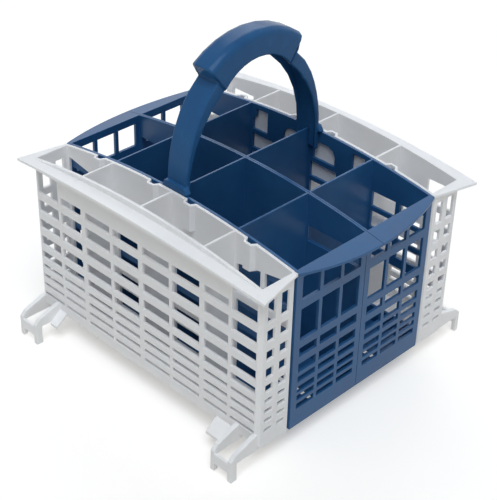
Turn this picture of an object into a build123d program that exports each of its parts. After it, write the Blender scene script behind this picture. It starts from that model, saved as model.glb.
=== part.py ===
from build123d import *
import math
import os

# Dishwasher cutlery basket: a blue centre basket moulded as two equal halves under an arched carrying
# handle, with a pale side basket hung on each long side.
# X runs along the four compartments, Y across the three baskets and Z up from the feet.

# Overall sizes, in millimetres
basket_length = 235.0
centre_width = 141.0
side_depth = 32.0
end_height = 133.0
arch_rise = 10.5
foot_drop = 15.0

# Walls and fits
wall = 2.2
floor_thickness = 2.0
divider = 1.6
middle_wall = 1.4
divider_pitch = 62.0
seam_gap = 0.3
side_gap = 0.3
handle_gap = 0.3

# Window grid of the blue end walls: slots from the bottom up, and the rails between them
end_columns = 3
end_bar = 3.2
seam_stile = 5.2
corner_stile = 6.0
end_bottom_band = 15.5
end_top_band = 6.0
end_slots = [4.5, 4.5, 5.0, 5.0, 7.5, 7.5, 26.0, 19.0]
end_rails = [3.0, 2.5, 4.0, 3.5, 6.0, 6.5, 7.0]

# Window grid of the blue long walls: the wide rows first, then the rows of two columns
long_edge = 2.0
long_bar = 4.0
long_bottom_band = 16.0
long_top_band = 18.0
long_wide_rows = 1
long_slots = [45.0, 11.5, 14.0, 12.5]
long_rails = [8.0, 4.0, 4.0]

# Windows under the arch of the long walls: places along X and heights above the rail under them
crown_rail = 4.0
crown_window_near = [(5.0, 0.0), (26.5, 0.0), (26.5, 8.0), (24.5, 12.5), (19.5, 15.0), (5.0, 15.0)]
crown_window_far = [(43.5, 0.0), (59.2, 0.0), (59.2, 8.5), (55.5, 12.5), (55.5, 18.5), (43.5, 18.5)]

# Cut-outs of the middle wall: the upper rows of the long walls, in the end compartments
middle_rows = 1

# Window grid of the pale outer and end walls
side_bar = 3.0
side_stile = 6.0
side_bottom_band = 13.3
side_top_band = 20.5
side_slots = [2.7, 2.8, 3.5, 3.5, 6.5, 8.5, 8.0, 10.0, 7.0]
side_rails = [5.8, 5.0, 5.5, 5.5, 5.5, 6.5, 7.0, 6.0]
high_top_band = 9.0
side_end_columns = 2
side_end_bar = 5.0
bottom_chamfer = 5.0
corner_chamfer = 2.5

# Window grid of the pale inner wall: wide rows, then two high windows in each end compartment
inner_bottom_band = 16.0
inner_top_band = 32.0
inner_slots = [18.0, 10.0, 47.0]
inner_rails = [3.0, 7.0]
inner_end_top_band = 46.0
high_window_rail = 6.0
high_window_near = 17.0
high_window_far = 8.5

# Hanging channels of the side baskets and the pegs that sit in them
peg_places = [18.6, 76.8]
channel_sides = 6
channel_radius = 4.3
channel_depth = 9.0
channel_length = 21.0
peg_gap = 0.35
peg_top_gap = 3.5

# Rims
centre_rim_mid = 13.5
centre_rim_corner = 1.5
centre_rim_drop = 2.5
rim_thickness = 2.0
side_rim_mid = 10.5
side_rim_corner = 7.5
side_rim_tip = 9.0
side_rim_inner = 0.8
lip_height = 4.5

# Drain slots in the floors
drain_width = 5.0
drain_margin = 8.0
centre_drains = 1

# Rack brackets of the side baskets
bracket_width = 20.0
bracket_reach = 23.7
bracket_inset = 1.0
rib_width = 3.5
rib_root_height = 13.5
rib_tip_height = 7.0
rib_bend = 4.0
leg_depth = 5.5
toe_depth = 3.5
toe_lift = 1.2
plate_thickness = 2.2
plate_low = 7.5
plate_high = 16.0
guard_narrow = 8.0
guard_wide = 19.0
guard_reach = 10.0
guard_fall = 8.0
guard_root_height = 7.5

# Handle
handle_width = 20.0
handle_rise = 87.5
handle_web = 2.2
leg_flare = 5.0
leg_straight = 3.5
leg_socket = 15.0
flange_crown = 5.5
flange_shoulder = 10.0
flange_middle = 5.5
flange_foot = 4.0
arch_runs = 5
foot_flare = 3.5
foot_height = 5.0

# Grip hood of the handle: half widths and heights above the handle's web, from the crest down
hood_turn = 37.0
hood_runs = 8
hood_wall = 2.2
hood_section = [(6.0, 13.5), (9.6, 11.5), (10.8, 8.0), (11.0, -12.0)]

# Places that follow from the sizes
half_length = basket_length / 2
half_width = centre_width / 2
basket_floor = foot_drop
end_top = basket_floor + end_height
crown_top = end_top + arch_rise
side_inner = half_width + side_gap
side_outer = side_inner + side_depth
leg_span = half_width - wall - handle_gap
crown_radius = leg_span - leg_flare
handle_top = crown_top + handle_rise
crown_z = handle_top - crown_radius
reach_over = side_depth


def span_box(x, y, z):
    """A block between the low and high values given for each axis."""
    size = [high - low for low, high in (x, y, z)]
    centre = [(high + low) / 2 for low, high in (x, y, z)]
    return Pos(*centre) * Box(*size)


def arch_top(x):
    """The height of the arched top edge of the long walls."""
    radius = (half_length**2 + arch_rise**2) / (2 * arch_rise)
    return crown_top - radius + math.sqrt(radius**2 - x**2)


def arched_face(rise, overhang=0.0):
    """The outline of a long wall in the XZ plane, with its top edge arched along the length."""
    radius = (half_length**2 + rise**2) / (2 * rise)
    reach = half_length + overhang
    end = end_top + rise - radius + math.sqrt(radius**2 - reach**2)
    with BuildSketch(Plane.XZ) as sketch:
        with BuildLine():
            ThreePointArc((reach, end), (0, end_top + rise), (-reach, end))
            Polyline((-reach, end), (-reach, basket_floor), (reach, basket_floor), (reach, end))
        make_face()
    return sketch.sketch


def arched_block(y_low, y_high):
    """The solid block of one basket, arched on top."""
    block = extrude(arched_face(arch_rise), amount=y_high - y_low, dir=(0, 1, 0))
    return Pos(0, y_low, 0) * block


def compartments():
    """The four spans along X between the end walls and the cross dividers."""
    inside = half_length - wall
    half = divider / 2
    return [
        (-inside, -divider_pitch - half),
        (-divider_pitch + half, -half),
        (half, divider_pitch - half),
        (divider_pitch + half, inside),
    ]


def graded_rows(low, high, slots, rails):
    """Slots between two heights: the rails keep their size and the slots share what is left."""
    share = (high - low - sum(rails)) / sum(slots)
    rows = []
    base = low
    for slot, rail in zip(slots, rails + [0]):
        rows.append((base, base + slot * share))
        base += slot * share + rail
    return rows


def columns(low, high, count, bar):
    """Equal openings between two edges with bars between them."""
    width = (high - low - (count - 1) * bar) / count
    return [(low + i * (width + bar), low + i * (width + bar) + width) for i in range(count)]


def centre_end_windows():
    """The graded window grid of both blue end walls of the rear half."""
    low = basket_floor + end_bottom_band
    rows = graded_rows(low, end_top - end_top_band, end_slots, end_rails)
    cuts = []
    for y in columns(seam_gap / 2 + seam_stile, half_width - corner_stile, end_columns, end_bar):
        for z in rows:
            for side in (-1, 1):
                face = side * (half_length - wall / 2)
                cuts.append(span_box((face - wall, face + wall), y, z))
    return cuts


def long_rows():
    """The graded rows of the blue long walls."""
    low = basket_floor + long_bottom_band
    return graded_rows(low, end_top - long_top_band, long_slots, long_rails)


def long_columns(span):
    """The two window columns of one compartment of a long wall."""
    return columns(span[0] + long_edge, span[1] - long_edge, 2, long_bar)


def wide_column(span):
    """The one wide window column of a compartment."""
    return (span[0] + long_edge, span[1] - long_edge)


def centre_long_windows():
    """Wide windows low in the long wall and two columns in each compartment above them."""
    rows = long_rows()
    y = (half_width - 1.5 * wall, half_width + wall)
    cuts = []
    for span in compartments():
        cuts += [span_box(wide_column(span), y, z) for z in rows[:long_wide_rows]]
        cuts += [span_box(x, y, z) for x in long_columns(span) for z in rows[long_wide_rows:]]
    return cuts


def crown_windows():
    """Windows under the arch of the long wall, with cut corners."""
    low = end_top - long_top_band + crown_rail
    depth = 3 * wall
    cuts = []
    for outline in (crown_window_near, crown_window_far):
        face = Plane.XZ * Polygon(*[(x, low + rise) for x, rise in outline], align=None)
        window = extrude(face, amount=depth, dir=(0, 1, 0))
        window = Pos(0, half_width - wall - depth / 3, 0) * window
        cuts += [window, mirror(window, about=Plane.YZ)]
    return cuts


def middle_windows():
    """Cut-outs of the middle wall, in the two end compartments."""
    y = (-middle_wall, 2 * middle_wall)
    cuts = []
    for span in (compartments()[0], compartments()[-1]):
        x = wide_column(span)
        cuts += [span_box(x, y, z) for z in long_rows()[-middle_rows:]]
    return cuts


def floor_drains(y_low, y_high, count):
    """Slots along X in the floor of every compartment."""
    z = (basket_floor - floor_thickness, basket_floor + 2 * floor_thickness)
    step = (y_high - y_low) / count
    cuts = []
    for x in compartments():
        for i in range(count):
            middle = y_low + (i + 0.5) * step
            y = (middle - drain_width / 2, middle + drain_width / 2)
            cuts.append(span_box((x[0] + drain_margin, x[1] - drain_margin), y, z))
    return cuts


def centre_rim():
    """The bowed rim over both blue end walls: widest at the seam and sloping down outwards."""
    outer = half_length + centre_rim_mid
    corner = half_length + centre_rim_corner
    inner = half_length - wall
    low = end_top - centre_rim_drop
    with BuildSketch(Plane.XZ) as slope:
        with BuildLine():
            Polyline(
                (inner, end_top),
                (half_length, end_top),
                (outer, low),
                (outer, low - rim_thickness),
                (half_length, end_top - rim_thickness),
                (inner, end_top - rim_thickness),
                close=True,
            )
        make_face()
    sheet = extrude(slope.sketch, amount=half_width, dir=(0, 1, 0))
    with BuildSketch() as plan:
        with BuildLine():
            ThreePointArc((corner, -half_width), (outer, 0), (corner, half_width))
            Polyline((corner, half_width), (inner, half_width), (inner, -half_width), (corner, -half_width))
        make_face()
    bow = Pos(0, 0, low - reach_over) * extrude(plan.sketch, amount=2 * reach_over)
    keep = span_box((0, outer + wall), (seam_gap / 2, half_width), (low - reach_over, end_top + reach_over))
    rim = sheet & bow & keep
    return [rim, mirror(rim, about=Plane.YZ)]


def channel_places():
    """The places along X of the pegs and of the channels that take them."""
    return [side * place for place in peg_places for side in (-1, 1)]


def faceted_post(radius, x, y, low, high):
    """An upright post with flat sides, the form that pegs and channels share."""
    return Pos(x, y, low) * extrude(RegularPolygon(radius, channel_sides), amount=high - low)


def pegs():
    """Half pegs on the outside of the long wall, which carry the basket in the channels."""
    beyond = (half_width - wall / 2, half_width + 2 * channel_radius)
    keep = span_box((-half_length, half_length), beyond, (basket_floor, crown_top))
    radius = channel_radius - peg_gap
    posts = []
    for x in channel_places():
        low = arch_top(x) - channel_depth
        posts.append(faceted_post(radius, x, half_width, low, arch_top(x) - peg_top_gap) & keep)
    return posts


def make_centre_half():
    """The rear half of the blue centre basket."""
    y_low = seam_gap / 2
    block = arched_block(y_low, half_width)
    spaces = []
    for x in compartments():
        z = (basket_floor + floor_thickness, crown_top + wall)
        spaces.append(span_box(x, (y_low + middle_wall, half_width - wall), z))
    windows = centre_end_windows() + centre_long_windows() + crown_windows() + middle_windows()
    drains = floor_drains(y_low + middle_wall, half_width - wall, centre_drains)
    body = block - spaces - windows - drains
    return body + centre_rim() + pegs()


def side_rows(top_band):
    """The graded rows of the pale walls; the last slot ends at the band named."""
    low = basket_floor + side_bottom_band
    rows = graded_rows(low, end_top - side_top_band, side_slots, side_rails)
    last = rows.pop()
    return rows + [(last[0], end_top - top_band)]


def side_outer_windows():
    """Two columns in each compartment of the outer long wall; those at the ends reach up to the rim."""
    y = (side_outer - 1.5 * wall, side_outer + wall)
    spans = compartments()
    cuts = []
    for n, span in enumerate(spans):
        for i, x in enumerate(columns(span[0] + side_bar / 2, span[1] - side_bar / 2, 2, side_bar)):
            at_end = (n == 0 and i == 0) or (n == len(spans) - 1 and i == 1)
            for z in side_rows(high_top_band if at_end else side_top_band):
                cuts.append(span_box(x, y, z))
    return cuts


def side_end_windows():
    """Two narrow columns in both end walls of a side basket."""
    cuts = []
    for y in columns(side_inner + side_stile, side_outer - side_stile, side_end_columns, side_end_bar):
        for z in side_rows(high_top_band):
            for side in (-1, 1):
                face = side * (half_length - wall / 2)
                cuts.append(span_box((face - wall, face + wall), y, z))
    return cuts


def side_inner_windows():
    """Windows of the inner wall: wide ones, and two high ones with sloping tops in each end compartment."""
    low = basket_floor + inner_bottom_band
    y = (side_inner - wall, side_inner + 2 * channel_radius)
    rows = graded_rows(low, end_top - inner_top_band, inner_slots, inner_rails)
    cuts = []
    for span in compartments()[1:3]:
        cuts += [span_box(wide_column(span), y, z) for z in rows]
    end_span = compartments()[3]
    wide = wide_column(end_span)
    high = end_top - inner_end_top_band
    cuts += [span_box(x, y, (low, high)) for x in (wide, (-wide[1], -wide[0]))]
    for x in long_columns(end_span):
        cuts += high_window(x, wide, high + high_window_rail, y)
    return cuts


def high_window(x, wide, low, y):
    """A window of an end compartment whose top edge rises towards the end wall, and its mirror image."""
    slope = (high_window_near - high_window_far) / (wide[1] - wide[0])
    tops = [end_top - high_window_near + slope * (place - wide[0]) for place in x]
    with BuildSketch(Plane.XZ) as outline:
        with BuildLine():
            Polyline((x[0], low), (x[1], low), (x[1], tops[1]), (x[0], tops[0]), close=True)
        make_face()
    window = Pos(0, y[0], 0) * extrude(outline.sketch, amount=y[1] - y[0], dir=(0, 1, 0))
    return [window, mirror(window, about=Plane.YZ)]


def channel_walls():
    """Walls that bulge into the side basket round the channels."""
    outer = channel_radius + wall
    under = arched_block(side_inner, side_outer)
    posts = []
    for x in channel_places():
        low = arch_top(x) - channel_length
        posts.append(faceted_post(outer, x, side_inner, low, crown_top) & under)
    return posts


def channel_cuts():
    """The open half of each channel, closed at its foot."""
    high = crown_top + reach_over
    places = channel_places()
    return [faceted_post(channel_radius, x, side_inner, arch_top(x) - channel_depth, high) for x in places]


def side_rim():
    """The outward flange on three sides: bowed along the outer wall, tapering away along the ends."""
    rise = arch_rise - lip_height
    tip = half_length + side_rim_tip
    edge = side_outer + side_rim_mid
    face = arched_face(rise, side_rim_tip)
    sheet = extrude(face, amount=edge - side_inner, dir=(0, 1, 0))
    sheet = Pos(0, side_inner, 0) * (sheet - Pos(0, 0, -rim_thickness) * sheet)
    near = half_length + side_rim_inner
    with BuildSketch() as plan:
        with BuildLine():
            corner = side_outer + side_rim_corner
            ThreePointArc((tip, corner), (0, edge), (-tip, corner))
            Polyline((-tip, corner), (-near, side_inner), (near, side_inner), (tip, corner))
        make_face()
    prism = extrude(plan.sketch, amount=crown_top + reach_over)
    inside = half_length - wall
    hole = span_box((-inside, inside), (side_inner - wall, side_outer - wall), (0, crown_top + reach_over))
    return (sheet & prism) - hole


def rib(x_low, depth, foot):
    """A rack bracket's rib: it slopes down from the wall, bends and ends in a foot."""
    tip = side_outer + bracket_reach
    root = side_outer - wall / 2
    low = basket_floor
    knee = low + rib_tip_height
    with BuildSketch(Plane.YZ) as profile:
        with BuildLine():
            Polyline(
                (side_outer - bottom_chamfer, low),
                (root, low + bottom_chamfer),
                (root, low + rib_root_height),
                (side_outer, low + rib_root_height),
                (tip - rib_bend, knee),
                (tip, knee - rib_bend),
                (tip, foot),
                (tip - depth, foot),
                (tip - depth, low),
                close=True,
            )
        make_face()
    return Pos(x_low, 0, 0) * extrude(profile.sketch, amount=rib_width)


def bracket(x_low):
    """A rack bracket: two ribs and a plate between their tips, over the notch for a rack wire."""
    x_high = x_low + bracket_width
    tip = side_outer + bracket_reach
    leg = rib(x_low, leg_depth, 0)
    toe = rib(x_high - rib_width, toe_depth, toe_lift)
    plate = span_box((x_low, x_high), (tip - plate_thickness, tip), (plate_low, plate_high))
    return leg + toe + plate


def guard(x_low, width):
    """The short sloping guard plate beside a bracket."""
    high = basket_floor + guard_root_height
    root = side_outer - wall / 2
    edge = side_outer + guard_reach
    with BuildSketch(Plane.YZ) as profile:
        with BuildLine():
            Polyline(
                (root, high),
                (side_outer, high),
                (edge, high - guard_fall),
                (edge, high - guard_fall - plate_thickness),
                (side_outer, high - plate_thickness),
                (root, high - plate_thickness),
                close=True,
            )
        make_face()
    return Pos(x_low, 0, 0) * extrude(profile.sketch, amount=width)


def side_spaces():
    """The four compartments of a side basket, bevelled along the foot of the outer wall."""
    spaces = []
    for x in compartments():
        z = (basket_floor + floor_thickness, crown_top + wall)
        space = span_box(x, (side_inner + wall, side_outer - wall), z)
        edge = space.edges().filter_by(Axis.X).sort_by(Axis.Z)[:2].sort_by(Axis.Y)[-1]
        spaces.append(chamfer(edge, bottom_chamfer - wall))
    return spaces


def make_side_basket():
    """The rear side basket."""
    block = arched_block(side_inner, side_outer)
    block = chamfer(block.edges().filter_by(Axis.Z), corner_chamfer)
    foot = block.edges().filter_by(Axis.X).sort_by(Axis.Z)[:2].sort_by(Axis.Y)[-1]
    block = chamfer(foot, bottom_chamfer)
    windows = side_outer_windows() + side_end_windows() + side_inner_windows()
    drains = floor_drains(side_inner + wall, side_outer - wall, 1)
    body = block - side_spaces() - windows - drains
    body = body + channel_walls() - channel_cuts() + side_rim()
    outer = half_length - bracket_inset
    inner = outer - bracket_width
    brackets = [bracket(inner), bracket(-outer)]
    guards = [guard(inner - guard_narrow, guard_narrow), guard(-inner, guard_wide)]
    return body + brackets + guards


def side_arc():
    """The centre, radius and turn of the arc that joins the crown to a leg."""
    spring = crown_top + leg_straight
    rise = crown_z - spring
    radius = (leg_span**2 + rise**2 - crown_radius**2) / (2 * leg_flare)
    centre = (leg_span - radius, spring)
    return centre, radius, math.atan2(rise, radius - leg_span)


def arch_face(arcs):
    """The area under a chain of arcs from the crown to a foot and its mirror image, in straight runs."""
    places = [arc @ (i / arch_runs) for arc in arcs for i in range(arch_runs)]
    right = [(place.X, place.Y) for place in places + [arcs[-1] @ 1]]
    right.append((right[-1][0], crown_top - leg_socket))
    left = [(-y, z) for y, z in right[:0:-1]]
    return Plane.YZ * Polygon(*right, *left, align=None)


def web_face(inset):
    """The area under the handle's web, with its outline moved inwards by the inset."""
    centre, radius, turn = side_arc()
    lean = math.degrees(turn)
    crown = CenterArc((0, crown_z), crown_radius - inset, 90, lean - 90)
    side = CenterArc(centre, radius - inset, lean, -lean)
    return arch_face([crown, side])


def flange_face():
    """The area under the edges of the handle's flanges, which hang deepest at the ends of the grip."""
    centre, radius, turn = side_arc()
    deep = crown_radius - flange_shoulder
    angle = math.radians(hood_turn)
    shoulder = (deep * math.sin(angle), crown_z + deep * math.cos(angle))
    large = radius - flange_middle
    between = (centre[0] + large * math.cos(turn / 2), centre[1] + large * math.sin(turn / 2))
    foot = (leg_span - flange_foot, centre[1])
    crown = ThreePointArc((-shoulder[0], shoulder[1]), (0, handle_top - flange_crown), shoulder)
    return arch_face([crown.trim(0.5, 1), ThreePointArc(shoulder, between, foot)])


def hood(inset, turn):
    """The domed grip as equal straight runs round the centre of the crown; the inset leaves its wall."""
    half_step = math.radians(turn / hood_runs)
    half = [(x - inset, crown_radius + rise - inset) for x, rise in hood_section]
    half[-1] = (half[-1][0], crown_radius + hood_section[-1][1])
    outline = half + [(-x, reach) for x, reach in half[::-1]]
    flat = [(x, reach * math.cos(half_step)) for x, reach in outline]
    run = extrude(Plane.XZ * Polygon(*flat, align=None), amount=handle_width, both=True)
    high = 2 * crown_radius
    wide = high * math.tan(half_step)
    wedge = Plane.YZ * Polygon((0, 0), (wide, high), (-wide, high), align=None)
    run = run & extrude(wedge, amount=handle_width, both=True)
    turns = [turn * ((2 * i + 1) / hood_runs - 1) for i in range(hood_runs)]
    return [Pos(0, 0, crown_z) * Rot(angle, 0, 0) * run for angle in turns]


def make_handle():
    """The arched carrying handle: a channel section with a domed, hollow grip and flared feet."""
    arch = extrude(web_face(0), amount=handle_width / 2, both=True) + hood(0, hood_turn)
    under = extrude(flange_face(), amount=handle_width, both=True)
    hollow = extrude(web_face(handle_web), amount=handle_width / 2 - handle_web, both=True)
    end_wall = math.degrees(hood_wall / crown_radius)
    arch = arch - under - hollow - hood(hood_wall, hood_turn - end_wall)
    half = handle_width / 2
    with BuildSketch(Plane.XZ) as flare:
        with BuildLine():
            Polyline(
                (-half - foot_flare, crown_top),
                (half + foot_flare, crown_top),
                (half, crown_top + foot_height),
                (-half, crown_top + foot_height),
                close=True,
            )
        make_face()
    foot = extrude(flare.sketch, amount=half_width - leg_span + handle_web, dir=(0, 1, 0))
    handle = arch + Pos(0, leg_span - handle_web, 0) * foot + Pos(0, -half_width, 0) * foot
    reach = divider / 2 + handle_gap
    slot = span_box((-reach, reach), (-half_width, half_width), (basket_floor, crown_top))
    return handle - slot


def turned(part):
    """The same moulding turned half a turn, for the other side of the basket."""
    return part.rotate(Axis.Z, 180)


centre_half = make_centre_half()
side_basket = make_side_basket()
nodes = {
    "centre_half_rear": centre_half,
    "centre_half_front": turned(centre_half),
    "side_basket_rear": side_basket,
    "side_basket_front": turned(side_basket),
    "handle": make_handle(),
}

os.makedirs("parts", exist_ok=True)
for name, part in nodes.items():
    part.label = name
    export_step(part, f"parts/{name}.step")
    print(name, len(part.solids()), round(part.volume), part.is_valid)
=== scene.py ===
import math

import bpy
from mathutils import Matrix, Vector

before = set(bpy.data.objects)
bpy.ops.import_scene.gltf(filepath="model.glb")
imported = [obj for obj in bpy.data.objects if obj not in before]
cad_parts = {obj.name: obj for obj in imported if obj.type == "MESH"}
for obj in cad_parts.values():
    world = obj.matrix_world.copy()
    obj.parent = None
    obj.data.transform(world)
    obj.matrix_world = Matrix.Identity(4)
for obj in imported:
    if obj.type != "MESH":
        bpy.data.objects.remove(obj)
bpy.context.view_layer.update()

# Centre basket
# Two equal blue halves back to back, each with four open compartments and window grids in every wall.
# Injection-moulded polypropylene, held by pegs that sit in the channels of the side baskets.
BLUE_BODY = "#295d8d"
BLUE_SHADE = "#255584"
CENTRE_ROUGHNESS = 0.36
CENTRE_SHEEN = 0.34
CENTRE_EDGE_MM = 0.35


def linear(hex_colour):
    channels = [int(hex_colour[i:i + 2], 16) / 255 for i in (1, 3, 5)]
    return [c / 12.92 if c <= 0.04045 else ((c + 0.055) / 1.055) ** 2.4 for c in channels] + [1.0]


def add_node(tree, kind, settings=None, links=None):
    node = tree.nodes.new(kind)
    for name, value in (settings or {}).items():
        if name in node.inputs:
            node.inputs[name].default_value = value
        else:
            setattr(node, name, value)
    for name, source in (links or {}).items():
        tree.links.new(source, node.inputs[name])
    return node


MM_PER_M = 1000
POLYPROPYLENE_IOR = 1.49
FLOW_MARK_MM = 26.0
FLOW_DETAIL = 3.0
FLOW_FADE = 0.55
TINT_FROM, TINT_TO = 0.32, 0.68
SATIN_FROM, SATIN_TO = 0.3, 0.7
SATIN_LESS, SATIN_MORE = 0.05, 0.06
MOULD_GRAIN_MM = 1.1
GRAIN_DETAIL = 2.0
GRAIN_DEPTH_MM = 0.2
GRAIN_STRENGTH = 0.1
OPAQUE, MILKY = 0.0, 1.0
MILKY_DEPTH_MM = 1.2
EVEN_SCATTER = (1.0, 1.0, 1.0)


def moulded_polypropylene(name, body, shade, roughness, sheen, milkiness):
    # Polypropylene from a lightly sparked mould: satin, faintly waxy, with soft broad highlights.
    # Faint flow marks from the filling of the mould vary its tint and its satin.
    # The grain is drawn coarser than the real one, about 0.2 mm, so that it shows in the render.
    material = bpy.data.materials.new(name)
    material.use_nodes = True
    tree = material.node_tree
    tree.nodes.clear()
    place = add_node(tree, "ShaderNodeTexCoord").outputs["Object"]
    flow = add_node(
        tree, "ShaderNodeTexNoise",
        {"Scale": MM_PER_M / FLOW_MARK_MM, "Detail": FLOW_DETAIL, "Roughness": FLOW_FADE},
        {"Vector": place},
    ).outputs["Fac"]
    grain = add_node(
        tree, "ShaderNodeTexNoise",
        {"Scale": MM_PER_M / MOULD_GRAIN_MM, "Detail": GRAIN_DETAIL},
        {"Vector": place},
    ).outputs["Fac"]
    tint = add_node(tree, "ShaderNodeValToRGB", links={"Fac": flow})
    shade_stop, body_stop = tint.color_ramp.elements
    shade_stop.position = TINT_FROM
    shade_stop.color = linear(shade)
    body_stop.position = TINT_TO
    body_stop.color = linear(body)
    satin = add_node(
        tree, "ShaderNodeMapRange",
        {"From Min": SATIN_FROM, "From Max": SATIN_TO,
         "To Min": roughness - SATIN_LESS, "To Max": roughness + SATIN_MORE},
        {"Value": flow},
    )
    skin = add_node(
        tree, "ShaderNodeBump",
        {"Strength": GRAIN_STRENGTH, "Distance": GRAIN_DEPTH_MM / MM_PER_M},
        {"Height": grain},
    )
    shader = add_node(
        tree, "ShaderNodeBsdfPrincipled",
        {"IOR": POLYPROPYLENE_IOR, "Specular IOR Level": sheen, "Subsurface Weight": milkiness,
         "Subsurface Radius": EVEN_SCATTER, "Subsurface Scale": MILKY_DEPTH_MM / MM_PER_M},
        {"Base Color": tint.outputs["Color"], "Roughness": satin.outputs["Result"],
         "Normal": skin.outputs["Normal"]},
    )
    add_node(tree, "ShaderNodeOutputMaterial", links={"Surface": shader.outputs["BSDF"]})
    return material


# Curved surfaces shade smoothly, and edges that turn by more than the limit stay crisp.
SMOOTH_LIMIT_DEG = 50.0
smooth_shading = bpy.data.node_groups.new("smooth_curves_crisp_edges", "GeometryNodeTree")
smooth_shading.interface.new_socket("Geometry", in_out="INPUT", socket_type="NodeSocketGeometry")
smooth_shading.interface.new_socket("Geometry", in_out="OUTPUT", socket_type="NodeSocketGeometry")
moulding = add_node(smooth_shading, "NodeGroupInput")
angle = add_node(smooth_shading, "GeometryNodeInputMeshEdgeAngle")
crisp = add_node(
    smooth_shading, "FunctionNodeCompare",
    {"B": math.radians(SMOOTH_LIMIT_DEG)},
    {"A": angle.outputs["Unsigned Angle"]},
)
soft = add_node(
    smooth_shading, "GeometryNodeSetShadeSmooth",
    {"domain": "FACE", "Shade Smooth": True},
    {"Geometry": moulding.outputs["Geometry"]},
)
edged = add_node(
    smooth_shading, "GeometryNodeSetShadeSmooth",
    {"domain": "EDGE", "Shade Smooth": False},
    {"Geometry": soft.outputs["Geometry"], "Selection": crisp.outputs["Result"]},
)
add_node(smooth_shading, "NodeGroupOutput", links={"Geometry": edged.outputs["Geometry"]})

JOINED_WITHIN_M = 1e-5
EDGE_STEPS = 3
EDGE_ANGLE_DEG = 25


def dress(node, material, edge_mm, edge_shrinks):
    # Gives a moulding its material and the radius that its mould leaves on every edge.
    # A radius that shrinks takes only the room that the closest windows leave for it.
    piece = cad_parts[node]
    piece.data.materials.clear()
    piece.data.materials.append(material)
    weld = piece.modifiers.new("joined faces", "WELD")
    weld.merge_threshold = JOINED_WITHIN_M
    rounding = piece.modifiers.new("mould edge radius", "BEVEL")
    rounding.width = edge_mm / MM_PER_M
    rounding.segments = EDGE_STEPS
    rounding.use_clamp_overlap = edge_shrinks
    rounding.limit_method = "ANGLE"
    rounding.angle_limit = math.radians(EDGE_ANGLE_DEG)
    piece.modifiers.new("smooth curves", "NODES").node_group = smooth_shading
    piece.modifiers.new("flat faces stay flat", "WEIGHTED_NORMAL").keep_sharp = True


blue_polypropylene = moulded_polypropylene(
    "blue_moulded_polypropylene", BLUE_BODY, BLUE_SHADE, CENTRE_ROUGHNESS, CENTRE_SHEEN, OPAQUE)
for half in ("centre_half_front", "centre_half_rear"):
    dress(half, blue_polypropylene, CENTRE_EDGE_MM, edge_shrinks=True)

# Handle
# One arched moulding in the same blue polypropylene, a channel section with a swollen grip.
# Its legs stand astride the middle cross wall, and its feet rest on the tops of the long walls.
HANDLE_ROUGHNESS = 0.24
HANDLE_SHEEN = 0.12
HANDLE_EDGE_MM = 1.4
# Its mould is smoother, so the same plastic shows tighter highlights, and they are faint.
glossy_polypropylene = moulded_polypropylene(
    "blue_glossy_polypropylene", BLUE_BODY, BLUE_SHADE, HANDLE_ROUGHNESS, HANDLE_SHEEN, OPAQUE)
dress("handle", glossy_polypropylene, HANDLE_EDGE_MM, edge_shrinks=False)

# Side baskets
# A pale narrow basket along each long side, moulded in one with its rim, rack brackets and channels.
# Pale polypropylene. Each hangs by its channels on the pegs of the centre basket and can be lifted off.
PALE_BODY = "#f9f8f7"
PALE_SHADE = "#f4f3f2"
SIDE_ROUGHNESS = 0.45
SIDE_SHEEN = 0.4
SIDE_EDGE_MM = 0.3
# With hardly any pigment it is milky: light enters the thin walls and softens their shadows.
pale_polypropylene = moulded_polypropylene(
    "pale_moulded_polypropylene", PALE_BODY, PALE_SHADE, SIDE_ROUGHNESS, SIDE_SHEEN, MILKY)
for side in ("side_basket_front", "side_basket_rear"):
    dress(side, pale_polypropylene, SIDE_EDGE_MM, edge_shrinks=True)

# Floor
# A plain white matt studio table that keeps the soft shadow under the basket.
# It glows a little where it is looked at, so that it runs into the white room behind it.
FLOOR_SIZE_M = 8.0
FLOOR_WHITE = "#f0ede7"
FLOOR_ROUGHNESS = 0.9
FLOOR_GLOW = 0.36
PURE_WHITE = "#ffffff"
bpy.ops.mesh.primitive_plane_add(size=FLOOR_SIZE_M, location=(0, 0, 0))
floor = bpy.context.object
floor.name = "studio_floor"


def seen_directly(tree):
    # One where the camera, a reflection or a clear surface looks straight at it.
    # Nought where it only gives light to other things.
    path = add_node(tree, "ShaderNodeLightPath").outputs
    mirrored = add_node(tree, "ShaderNodeMath", {"operation": "MAXIMUM"})
    tree.links.new(path["Is Glossy Ray"], mirrored.inputs[0])
    tree.links.new(path["Is Transmission Ray"], mirrored.inputs[1])
    seen = add_node(tree, "ShaderNodeMath", {"operation": "MAXIMUM"})
    tree.links.new(path["Is Camera Ray"], seen.inputs[0])
    tree.links.new(mirrored.outputs["Value"], seen.inputs[1])
    return seen.outputs["Value"]


table = bpy.data.materials.new("matt_white_table")
table.use_nodes = True
table_tree = table.node_tree
table_tree.nodes.clear()
glow = add_node(
    table_tree, "ShaderNodeMapRange",
    {"To Max": FLOOR_GLOW},
    {"Value": seen_directly(table_tree)},
)
matt = add_node(
    table_tree, "ShaderNodeBsdfPrincipled",
    {"Base Color": linear(FLOOR_WHITE), "Roughness": FLOOR_ROUGHNESS, "Specular IOR Level": 0.0,
     "Emission Color": linear(PURE_WHITE)},
    {"Emission Strength": glow.outputs["Result"]},
)
add_node(table_tree, "ShaderNodeOutputMaterial", links={"Surface": matt.outputs["BSDF"]})
floor.data.materials.append(table)

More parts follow.
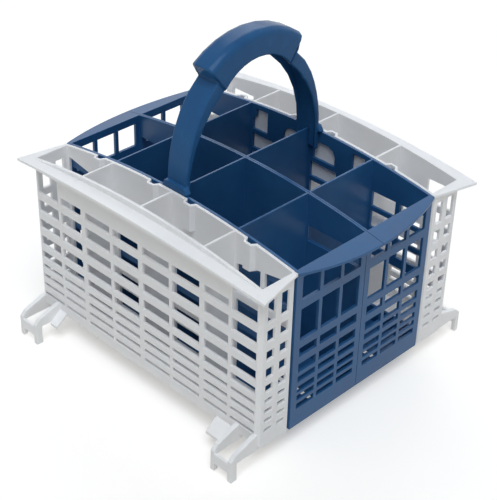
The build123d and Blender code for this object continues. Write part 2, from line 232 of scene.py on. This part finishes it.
# Light
# A white room gives an even light, a broad lamp high over the camera gives the soft main light,
# and a weaker lamp behind the basket lays the sheen on the rims. Both lamps are a little cool.
ROOM_LIGHT = 0.25
ROOM_SEEN = 1.0
LAMP_TINT = "#eff6ff"
LAMPS = {
    # name: strength, then spread, height above the floor and turn round the basket in degrees
    "soft_front_light": (1.68, 36.0, 64.0, 46.0),
    "soft_back_light": (0.62, 40.0, 36.0, 223.0),
}
world = bpy.data.worlds.new("white_room")
bpy.context.scene.world = world
world.use_nodes = True
room = world.node_tree
room.nodes.clear()
room_level = add_node(
    room, "ShaderNodeMapRange",
    {"To Min": ROOM_LIGHT, "To Max": ROOM_SEEN},
    {"Value": seen_directly(room)},
)
room_white = add_node(
    room, "ShaderNodeBackground",
    {"Color": linear(PURE_WHITE)},
    {"Strength": room_level.outputs["Result"]},
)
add_node(room, "ShaderNodeOutputWorld", links={"Surface": room_white.outputs["Background"]})
for lamp_name, (strength, spread, height, turn) in LAMPS.items():
    lamp = bpy.data.lights.new(lamp_name, "SUN")
    lamp.energy = strength
    lamp.color = linear(LAMP_TINT)[:3]
    lamp.angle = math.radians(spread)
    stand = bpy.data.objects.new(lamp_name, lamp)
    bpy.context.scene.collection.objects.link(stand)
    stand.rotation_euler = (math.radians(90 - height), 0, math.radians(turn))

# Camera
# Looks down on the corner of the basket from the photograph's place, with a fairly long lens.
# The focal length is in pixels of the photograph, which is 500 pixels high.
IMAGE_HEIGHT = 500
FOCAL_PIXELS = 1302.58
SENSOR_MM = 36.0
CAMERA_PLACE = Vector((0.57367, -0.59236, 0.61986))
CAMERA_TURN_DEG = 43.81
CAMERA_DOWN_DEG = 33.33
CAMERA_ROLL_DEG = 1.68
camera_turn = math.radians(CAMERA_TURN_DEG)
camera_down = math.radians(CAMERA_DOWN_DEG)
camera_roll = math.radians(CAMERA_ROLL_DEG)
flat_back = Vector((math.sin(camera_turn), -math.cos(camera_turn), 0))
back = flat_back * math.cos(camera_down) + Vector((0, 0, math.sin(camera_down)))
level_right = (-back).cross(Vector((0, 0, 1))).normalized()
level_up = back.cross(level_right)
right = level_right * math.cos(camera_roll) + level_up * math.sin(camera_roll)
up = level_up * math.cos(camera_roll) - level_right * math.sin(camera_roll)
camera = bpy.data.cameras.new("photo_camera")
camera.sensor_fit = "VERTICAL"
camera.sensor_height = SENSOR_MM
camera.lens = FOCAL_PIXELS * SENSOR_MM / IMAGE_HEIGHT
camera_object = bpy.data.objects.new("photo_camera", camera)
bpy.context.scene.collection.objects.link(camera_object)
axes = Matrix((right, up, back)).transposed()
camera_object.matrix_world = Matrix.Translation(CAMERA_PLACE) @ axes.to_4x4()
bpy.context.scene.camera = camera_object
bpy.context.scene.view_settings.view_transform = "Standard"
